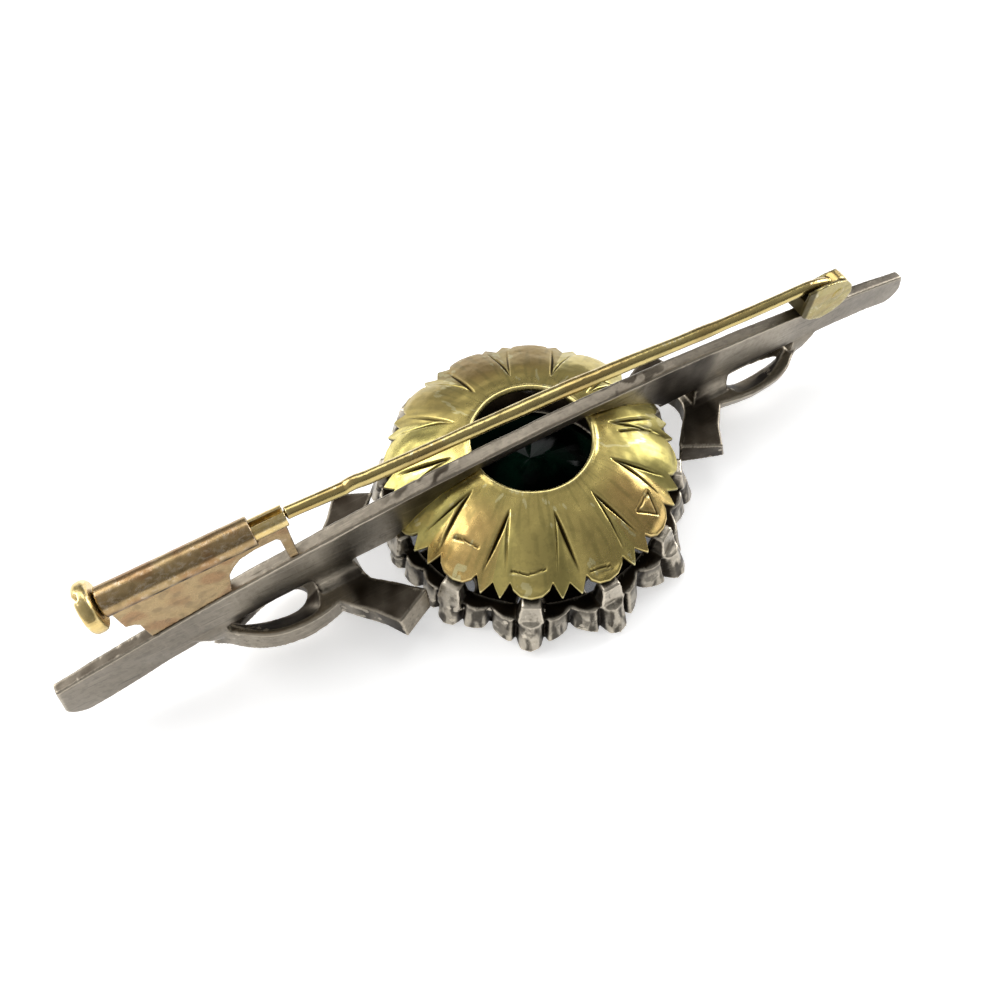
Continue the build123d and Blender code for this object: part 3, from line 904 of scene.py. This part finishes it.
    def build(self) -> list[Thing]:
        """Make the cup as one closed surface, whose columns go round the axis.

        Returns:
            The cup, in a list.
        """
        share, level, swell = self.section()
        pitch = 360.0 / self.petals
        turn = np.arange(self.petals * self.columns) * pitch / self.columns
        angle = (turn + pitch / 2) % pitch - pitch / 2
        window = self.profile[0][0]
        radius = window + share[:, None] * (self.outline(angle)[None, :] - window)
        offset, groove = self.relief(radius, np.broadcast_to(turn, radius.shape))
        outward = fade(level, 0.0, 0.9)[:, None]
        height = self.height(radius) + offset * (0.25 + 0.75 * outward)
        height = height - level[:, None] * self.wall
        around = np.exp(1j * np.radians(turn))[None, :]
        place = (radius + swell[:, None]) * around
        points = np.stack([place.real, place.imag, height], axis=-1).reshape(-1, 3)
        dents = 0.018 * ripple(points, 2.4, 5) + 0.006 * ripple(points, 0.7, 6)
        points[:, 2] += dents * np.repeat(outward[:, 0], len(turn))
        cup = new_piece("petal_cup", points, closed_quads(len(share), len(turn)))
        petal = np.round(turn / pitch).astype(int) % self.petals
        beside = np.cos(np.radians(angle) * self.petals / 2)
        out = smooth_step(radius, window + 0.6, window + 2.6)
        # Painted reflection: a warm tint on each petal, from the warmth table.
        own = np.array(self.warmth)[petal] * (0.6 + 0.4 * beside)
        write_mask(cup, "Warmth", 0.35 * (1.0 - out) + own * out)
        # Grime in the cut lines, painted shade on each petal, and painted shade all over the
        # inside of the cup.
        dirt_and_shade = np.maximum(np.clip(1.7 * groove, 0.0, 1.0), np.array(self.petal_shade)[petal] * out)
        write_mask(cup, "DirtAndShade", np.maximum(dirt_and_shade * outward, 1.0 - outward))
        fan = np.broadcast_to(5.5 * around, radius.shape).ravel()
        fan = np.stack([fan.real, fan.imag, 0.12 * radius.ravel()], axis=1)
        write_mask(cup, "Streak", blotches(fan, 0.32, 8, 0.2, 1.6))
        seat_piece(cup, GoldFinish("Cup gold"), Body.BROOCH, Slot.CUP, "gold_cup")
        return [cup]


@dataclass
class Setting:
    """The fluted silver wall with its claws, and the stones in it.

    Attributes:
        handwork: How the wall differs from its exact form.
        finish: The wall's finish.
        stones: Number of small stones.
        rib_pitch: Angle from one groove of the wall to the next, in degrees.
        groove: Depth and half width of a groove, in millimetres.
        claw_half: Half the width of a claw, in millimetres.
        wall_top: Heights over which the wall ends and the claws go on alone.
    """

    handwork: Handwork = Handwork(0.104, 2, 0.012, 1.1, 21)
    # Its very dark tarnish colour also paints the shade inside the setting.
    finish: Finish = SilverFinish("Setting silver", (0.44, 0.395, 0.32), (0.014, 0.010, 0.006),
                                  0.56, stretch=(2600.0, 2600.0, 500.0))
    stones: int = 12
    rib_pitch: float = 10.0
    groove: Span = (0.34, 0.17)
    claw_half: float = 0.70
    wall_top: Span = (2.3, 2.7)

    def carve(self, wall: Thing) -> None:
        """Cut deep grooves between the wall's ribs and mark all that is dark.

        A groove is a bell across and runs the height of the wall, but not up a claw. Dark are
        the grooves, streaks and the wall's upper part beside the claws; painted shade darkens the
        inside and the gap between the claws above the wall.

        Args:
            wall: The wall's piece.
        """
        points = surface_of(wall)[0]
        radius = np.hypot(points[:, 0], points[:, 1])
        turn = np.degrees(np.arctan2(points[:, 1], points[:, 0]))
        claw_pitch = 360.0 / self.stones
        off_claw = (turn + claw_pitch / 2) % claw_pitch - claw_pitch / 2
        claw = fade(np.abs(np.radians(off_claw)) * radius, self.claw_half, self.claw_half + 0.12)
        claw = claw * smooth_step(radius, 9.0, 9.15)
        off_groove = np.radians(turn % self.rib_pitch - self.rib_pitch / 2) * radius
        depth, half_width = self.groove
        high = smooth_step(points[:, 2], *self.wall_top)
        groove = np.exp(-(off_groove / half_width) ** 2) * smooth_step(radius, 9.25, 9.65)
        groove = groove * (1.0 - high)
        uneven = 1.0 + 0.25 * ripple(points * (1.0, 1.0, 0.3), 1.6, 23)
        points[:, :2] *= (1.0 - depth * groove * uneven / radius)[:, None]
        # Painted shade: the inside and the gap between the claws above the wall.
        inside = fade(radius, 9.45, 9.75)
        rail = high * fade(radius, 9.9, 10.1)
        streak = blotches(points * (1.0, 1.0, 0.12), 0.5, 24, -0.3, 0.8) * (1.0 - high)
        upper = 0.8 * smooth_step(points[:, 2], 1.7, 2.4) * (1.0 - claw)
        shade = np.maximum(np.maximum(inside, rail) * (1.0 - claw), smooth_step(groove, 0.02, 0.3))
        shade = np.maximum(shade, 0.85 * np.maximum(streak, upper))
        # Painted shade: all that lies inside the claws' tips.
        shade = np.maximum(shade, fade(radius, 9.0, 9.2))
        write_points(wall.data, np.clip(points * MM, *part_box("setting_ring")))
        write_mask(wall, "Shade", np.clip(shade, 0.0, 1.0))

    def build(self) -> list[Thing]:
        """Make the wall and dress all stones.

        Returns:
            The wall and the stones.
        """
        wall = self.handwork.copy_of("setting_ring", "fluted_setting")
        self.carve(wall)
        seat_piece(wall, self.finish, Body.BROOCH, Slot.SETTING, "setting_ring")
        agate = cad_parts["main_agate"]
        dress(agate, AGATE.material())
        clear = DIAMOND.material()
        small = [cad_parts[f"diamond_{number + 1:02d}"] for number in range(self.stones)]
        for stone in small:
            dress(stone, clear)
        return [wall, agate, *small]


@dataclass
class Strip:
    """The bar with its two bows.

    Attributes:
        handwork: How the silver differs from its exact form.
        finish: The silver's finish.
        tail: Distances from the brooch's middle over which a bow's tails start and stop.
        opening: The same for the stretch of the bar that lies behind a loop's window, which gets
            painted shade.
        solder: The same for the blotched stretch of the back edge beside the cup.
        dark_stretches: Middle, reach and strength of darker stretches on the bar's sides.
        darker_ends: Where the back edge turns darker towards each end, its side and how much
            darker.
        back_and_end_shade: How much painted shade darkens all of the back edge and both ends'
            sides.
        pocket: Distances of a loop's middle from the brooch's middle and from the bar's.
    """

    handwork: Handwork = Handwork(0.093, 2, 0.009, 2.2, 31)
    finish: Finish = SilverFinish("Bar silver", (0.33, 0.29, 0.23), (0.020, 0.014, 0.009), 0.66,
                                  specks=0.4)
    tail: tuple[Span, Span] = ((8.6, 9.0), (13.0, 14.0))
    opening: tuple[Span, Span] = ((14.9, 15.5), (19.6, 20.6))
    solder: tuple[Span, Span] = ((4.2, 5.4), (8.6, 11.0))
    dark_stretches: tuple[Point, ...] = ((-6.4, 3.6, 0.85), (10.8, 3.4, 0.92), (1.0, 5.0, 0.5))
    darker_ends: tuple[Point, ...] = ((19.5, -1.0, 0.85), (23.0, 1.0, 0.75))
    back_and_end_shade: float = 0.40
    pocket: Span = (17.8, 0.8)

    def shade(self, points: Array, normals: Array) -> Array:
        """Work out how dark the silver is.

        Dark are the tails, whose end faces stay light as painted light, stretches of the bar's
        sides, and the ends and the blotches of its back edge. Painted shade darkens the walls of
        the loops' windows, the bar behind them, all of the back edge and the sides near both ends.

        Args:
            points: Points in millimetres, one in each row.
            normals: A unit vector for each point.

        Returns:
            A share from 0 to 1 for each point.
        """
        away, off = np.abs(points[:, 0]), np.abs(points[:, 1])
        outward = normals[:, 1] * np.sign(points[:, 1])
        side = fade(np.abs(normals[:, 2]), 0.35, 0.75)
        end_face = side * smooth_step(outward, 0.55, 0.8) * smooth_step(off, 3.1, 3.6)
        # Painted light: the tails' end faces, which face the light, stay light.
        dark = band(away, *self.tail) * smooth_step(off, 0.60, 0.80) * (0.94 - 0.86 * end_face)
        back = smooth_step(normals[:, 2], 0.6, 0.9) * fade(off, 0.5, 0.6)
        for end, sign, strength in self.darker_ends:
            near = smooth_step(sign * points[:, 0], end, end + 2.5)
            dark = np.maximum(dark, strength * back * near)
        solder = blotches(points, 0.9, 34, -0.2, 0.9) * band(away, *self.solder)
        # Painted shade over all of the back edge, beside the blotches by the cup.
        dark = np.maximum(dark, back * np.maximum(0.88 * solder, self.back_and_end_shade))
        inward, sideways = self.pocket[0] - away, self.pocket[1] - off
        toward = inward * np.sign(points[:, 0]) * normals[:, 0] + sideways * outward
        toward = toward / (np.hypot(inward, sideways) + 0.01)
        loop = smooth_step(away, 13.8, 14.4) * smooth_step(off, 0.42, 0.60)
        # Painted shade on the walls of the loops' windows and on the bar behind them.
        window = loop * smooth_step(toward, 0.0, 0.3) * fade(normals[:, 2], 0.80, 0.95)
        opening = side * band(away, *self.opening) * fade(points[:, 2], 4.3, 4.9)
        side = side * (1.0 - loop)
        # Painted shade on the sides near both ends.
        dark = np.maximum(dark, self.back_and_end_shade * side * smooth_step(away, 17.0, 23.0))
        dark = np.maximum(dark, np.maximum(0.98 * window, 0.9 * opening * (1.0 - loop)))
        for middle, spread, strength in self.dark_stretches:
            near = fade(np.abs(points[:, 0] - middle), 0.45 * spread, spread)
            dark = np.maximum(dark, strength * near * side)
        return np.clip(dark * (0.95 + 0.05 * ripple(points, 1.6, 33)), 0.0, 1.0)

    def build(self) -> list[Thing]:
        """Make the bar and bows.

        Returns:
            The bar, in a list.
        """
        bar = self.handwork.copy_of("bar_and_bows", "bar_with_bows")
        write_mask(bar, "Shade", self.shade(*surface_of(bar)))
        seat_piece(bar, self.finish, Body.BROOCH, Slot.BAR, "bar_and_bows")
        return [bar]


@dataclass
class Catch:
    """The tube catch: fixed tube with its plate, and the sliding tube.

    Attributes:
        tube_handwork: How the fixed tube differs from its exact form.
        slide_handwork: How the sliding tube differs from its exact form.
        tube_finish: The fixed tube's finish.
        slide_finish: The sliding tube's finish.
        axis_z: Height of the tubes' axis, in millimetres.
        tube_reach: Distance from the axis that the sliding tube's wall stays within.
        ease: How far that wall keeps further off the fixed tube's, in millimetres.
    """

    tube_handwork: Handwork = Handwork(0.06, 2, 0.004, 1.5, 41)
    slide_handwork: Handwork = Handwork(0.045, 3, 0.002, 1.2, 42)
    tube_finish: Finish = GoldFinish("Tube gold", (0.40, 0.285, 0.14), (0.31, 0.175, 0.08), 0.52)
    slide_finish: Finish = GoldFinish("Slide gold", (0.68, 0.53, 0.23), masks=False)
    axis_z: float = 11.605
    tube_reach: float = 0.7
    ease: float = 0.022

    def build(self) -> list[Thing]:
        """Make both tubes. The fixed one has painted shade along its underside.

        Returns:
            The fixed tube and the sliding one.
        """
        tube = self.tube_handwork.copy_of("catch_tube", "outer_catch_tube")
        points, normals = surface_of(tube)
        # Painted shade along the fixed tube's underside.
        under = np.exp(-((normals[:, 2] + 0.25) / 0.22) ** 2) * smooth_step(points[:, 2],
                                                                            11.0, 11.3)
        write_mask(tube, "DirtAndShade", 0.80 * under * (0.8 + 0.3 * ripple(points, 0.8, 44)))
        write_mask(tube, "Warmth", 0.8 * blotches(points, 1.8, 45, -0.3, 1.2))
        write_mask(tube, "Streak", blotches(points, 0.6, 46, 0.4, 1.5))
        seat_piece(tube, self.tube_finish, Body.BROOCH, Slot.TUBE, "catch_tube")
        slide = self.slide_handwork.copy_of("catch_slide", "inner_catch_tube")
        points = surface_of(slide)[0]
        reach = np.hypot(points[:, 1], points[:, 2] - self.axis_z)
        inward = 1.0 - self.ease / np.maximum(reach, 0.3) * (reach < self.tube_reach)
        points[:, 1] *= inward
        points[:, 2] = self.axis_z + (points[:, 2] - self.axis_z) * inward
        write_points(slide.data, points * MM)
        seat_piece(slide, self.slide_finish, Body.SLIDE, Slot.FITTINGS, "catch_slide")
        return [tube, slide]


@dataclass
class PinAndHinge:
    """The pin with its knuckle, and the hinge that it turns in.

    Attributes:
        pin_handwork: How the pin differs from its exact form.
        hinge_handwork: How the hinge differs from its exact form.
        pin_finish: The pin's finish.
        hinge_finish: The hinge's finish.
        post_x: Where the painted shade on the hinge's left end stops, in millimetres.
        bow: Coefficients of the height of the stem's middle line as a polynomial in x.
        bow_ends: Where the stem starts and stops.
        stem_radius: Radius of the stem at its ends.
        swell: How much thicker the stem is at its middle.
    """

    pin_handwork: Handwork = Handwork(0.06, 4, 0.008, 2.5, 51)
    hinge_handwork: Handwork = Handwork(0.045, 4, 0.006, 1.0, 52)
    pin_finish: Finish = GoldFinish("Fitting gold", (0.56, 0.45, 0.18), (0.40, 0.26, 0.09),
                                    roughness=0.16, grain=0.05)
    hinge_finish: Finish = GoldFinish("Hinge gold", (0.36, 0.30, 0.11), (0.30, 0.21, 0.07),
                                      grain=0.06)
    post_x: float = 20.15
    bow: tuple[float, ...] = (-2.6e-8, 2.82e-7, 1.6267e-5, -1.0746e-4, -3.675353e-3,
                              -6.0024621e-2, 10.961916)
    bow_ends: Span = (-11.5, 21.2)
    stem_radius: float = 0.37
    swell: float = 0.08

    def ease(self, pin: Thing) -> None:
        """Lay the stem on its even bow and let it swell at its middle.

        The middle line's height is measured at even steps as the mean of the highest and the
        lowest point near there. Each point moves up by what the bow differs from that line.

        Args:
            pin: The pin's piece.
        """
        points = surface_of(pin)[0]
        low, high = self.bow_ends
        step, near = 0.5, 0.2
        places = np.arange(low - 1.0, high + 1.0, step)
        heights = [points[np.abs(points[:, 0] - place) < near, 2] for place in places]
        middle = [(group.min() + group.max()) / 2.0 for group in heights]
        middle = np.interp(points[:, 0], places, middle)
        inside = band(points[:, 0], (low, low + 1.5), (high - 2.5, high - 1.0))
        lift = (np.polyval(self.bow, points[:, 0]) - middle) * inside
        share = np.clip((points[:, 0] - low) / (high - low), 0.0, 1.0)
        grow = 1.0 + self.swell / self.stem_radius * np.sin(math.pi * share) ** 2 * inside
        points[:, 2] = middle + lift + (points[:, 2] - middle) * np.where(inside > 0, grow, 1.0)
        points[:, 1] *= grow
        write_points(pin.data, points * MM)

    def pin_underside_shade(self, points: Array, normals: Array) -> Array:
        """Work out how much painted shade the pin gets at each point, most along its underside."""
        under = fade(normals[:, 2] - 0.4 * normals[:, 1], -0.55, 0.45)
        return under * (0.62 + 0.12 * ripple(points, 1.0, 55))

    def hinge_shade(self, points: Array, normals: Array) -> Array:
        """Work out where the hinge is darkened: painted shade on its left post and in the slot,
        and the bridge.
        """
        post = fade(points[:, 0], self.post_x, self.post_x + 0.25)
        return np.maximum(0.80 * post, 0.9 * fade(np.abs(points[:, 1]), 0.50, 0.58))

    def build(self) -> list[Thing]:
        """Make the pin and the hinge.

        Returns:
            The pin and the hinge.
        """
        pin = self.pin_handwork.copy_of("pin_stem", "bowed_pin")
        self.ease(pin)
        hinge = self.hinge_handwork.copy_of("hinge", "pin_hinge")
        # Painted shade along the pin's underside and on the hinge's left post and slot.
        for piece, dull in ((pin, self.pin_underside_shade), (hinge, self.hinge_shade)):
            points, normals = surface_of(piece)
            write_mask(piece, "DirtAndShade", dull(points, normals))
            write_mask(piece, "Warmth",
                       0.5 * blotches(points * (0.4, 1.0, 1.0), 1.4, 53, -0.2, 1.4))
            write_mask(piece, "Streak", blotches(points * (0.2, 1.0, 1.0), 0.5, 54, 0.4, 1.6))
        seat_piece(pin, self.pin_finish, Body.PIN, Slot.FITTINGS, "pin_stem")
        seat_piece(hinge, self.hinge_finish, Body.BROOCH, Slot.FITTINGS, "hinge")
        return [pin, hinge]


# Studio


@dataclass(frozen=True)
class SoftLight:
    """One white soft box.

    Attributes:
        name: Name of the light.
        toward: Direction from the object to the light.
        distance: Distance from the object, in metres.
        size: Width and height, in metres.
        glow: Brightness of its face.
    """

    name: str
    toward: Point
    distance: float
    size: Span
    glow: float

    def build(self) -> None:
        """Hang the light so that it faces the object."""
        lamp = bpy.data.lights.new(self.name, "AREA")
        lamp.shape = "RECTANGLE"
        lamp.size, lamp.size_y = self.size
        lamp.energy = self.glow * math.pi * self.size[0] * self.size[1]
        holder = add_object(self.name, lamp)
        toward = Vector(self.toward).normalized()
        holder.location = toward * self.distance
        holder.rotation_mode = "QUATERNION"
        holder.rotation_quaternion = toward.to_track_quat("Z", "Y")


@dataclass
class Studio:
    """Floor, sky, soft boxes and camera.

    Attributes:
        target: Point that the camera faces, in millimetres.
        azimuth: Camera's turn about the upright axis, in degrees.
        elevation: Camera's height above the horizon, in degrees.
        roll: Camera's turn about its own line of sight, in degrees.
        distance: Camera's distance from the target, in millimetres.
        focal_share: Focal length as a share of the picture's width.
        floor_size: Side of the floor, in metres.
        floor_drop: How far the floor lies below the stones' front faces, in millimetres.
        overhead: Brightness of the sky at the horizon and overhead.
        left: Brightness that the sky gains to the left.
        lights: The soft boxes.
    """

    target: Point = (-3.209, -0.878, 5.0)
    azimuth: float = -27.622
    elevation: float = 61.070
    roll: float = -1.839
    distance: float = 51.653
    focal_share: float = 850.0 / 984.0
    floor_size: float = 3.0
    floor_drop: float = 0.01
    overhead: Span = (0.14, 0.34)
    left: float = 0.34
    lights: tuple[SoftLight, ...] = field(default_factory=lambda: (
        SoftLight("Right box", (0.90, 0.10, 0.34), 0.40, (0.18, 0.15), 8.0),
        SoftLight("Left box", (-0.60, 0.52, 0.60), 0.42, (0.32, 0.32), 4.2),
        SoftLight("Top box", (0.26, 0.44, 0.86), 0.50, (0.40, 0.20), 2.6),
    ))

    def build_floor(self) -> None:
        """Lay the pale floor just below the stones' front faces."""
        half, below = self.floor_size / 2, -self.floor_drop * MM
        corners = [(-half, -half, below), (half, -half, below), (half, half, below),
                   (-half, half, below)]
        mesh = bpy.data.meshes.new("floor")
        mesh.from_pydata(corners, [], [(0, 1, 2, 3)])
        floor = add_object("floor", mesh)
        dress(floor, PAPER.material())

    def build_sky(self) -> None:
        """Set a dim grey light that is brighter overhead and to the left."""
        world = bpy.data.worlds.new("Studio")
        bpy.context.scene.world = world
        world.use_nodes = True
        graph = Graph(world.node_tree)
        way = graph.add("ShaderNodeTexCoord").outputs["Generated"]
        split = graph.add("ShaderNodeSeparateXYZ", {0: way})
        over = graph.span(split.outputs["Z"], 0.0, 0.95, *self.overhead)
        aside = graph.span(split.outputs["X"], -0.9, 0.2, self.left, 0.0)
        glow = graph.math("ADD", over, aside)
        back = graph.add("ShaderNodeBackground", {"Color": (1.0, 1.0, 1.0, 1.0),
                                                  "Strength": glow})
        graph.add("ShaderNodeOutputWorld", {"Surface": back.outputs[0]})

    def build_camera(self) -> None:
        """Place the camera at the photograph's angle, with its target in the middle."""
        turn, tilt, roll = (math.radians(value) for value in
                            (self.azimuth, self.elevation, self.roll))
        back = Vector((math.sin(turn) * math.cos(tilt), -math.cos(turn) * math.cos(tilt),
                       math.sin(tilt)))
        level = (-back).cross(Vector((0.0, 0.0, 1.0))).normalized()
        upright = back.cross(level)
        right = math.cos(roll) * level + math.sin(roll) * upright
        up = math.cos(roll) * upright - math.sin(roll) * level
        lens = bpy.data.cameras.new("Camera")
        lens.sensor_width = 36.0
        lens.lens = lens.sensor_width * self.focal_share
        lens.clip_start, lens.clip_end = 1.0 * MM, 10.0
        camera = add_object("Camera", lens)
        place = Matrix((right, up, back)).transposed().to_4x4()
        place.translation = (Vector(self.target) + back * self.distance) * MM
        camera.matrix_world = place
        bpy.context.scene.camera = camera

    def build(self) -> None:
        """Set up everything round the object."""
        self.build_floor()
        self.build_sky()
        self.build_camera()
        for light in self.lights:
            light.build()
        bpy.context.scene.view_settings.view_transform = "Standard"


def main() -> None:
    """Build the studio and every sub-assembly, and report each piece."""
    logging.basicConfig(level=logging.INFO, format="%(message)s")
    Studio().build()
    for assembly in (Strip(), Setting(), Cup(), Catch(), PinAndHinge()):
        for piece in assembly.build():
            logging.info("%s: %s, %d faces", type(assembly).__name__, piece.name,
                         len(piece.data.polygons))


if __name__ == "__main__":
    main()
